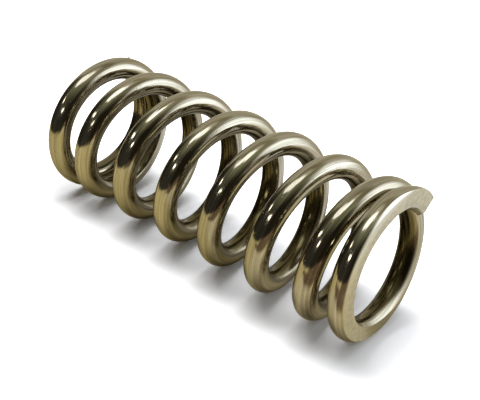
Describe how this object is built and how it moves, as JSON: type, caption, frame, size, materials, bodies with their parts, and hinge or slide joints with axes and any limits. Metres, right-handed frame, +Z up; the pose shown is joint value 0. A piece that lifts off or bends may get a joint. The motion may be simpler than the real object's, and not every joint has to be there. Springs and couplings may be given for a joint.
{
  "type": "compression spring",
  "caption": "Helical compression spring of polished round steel wire, wound left-hand, with closed ends ground flat to stand and seat squarely.",
  "frame": {"origin": "on the spring's axis, in the plane of the bottom ground face it stands on", "axes": "+Z up along the spring's axis; the bottom wire tip points to -X; +Y follows by the right hand"},
  "size_m": [0.0332, 0.0337, 0.0829],
  "materials": {
    "spring_wire": "polished drawn wire with a warm champagne tint, satin on the ground end faces"
  },
  "bodies": {
    "root": {"compression_spring": "spring_wire"}
  },
  "joints": []
}
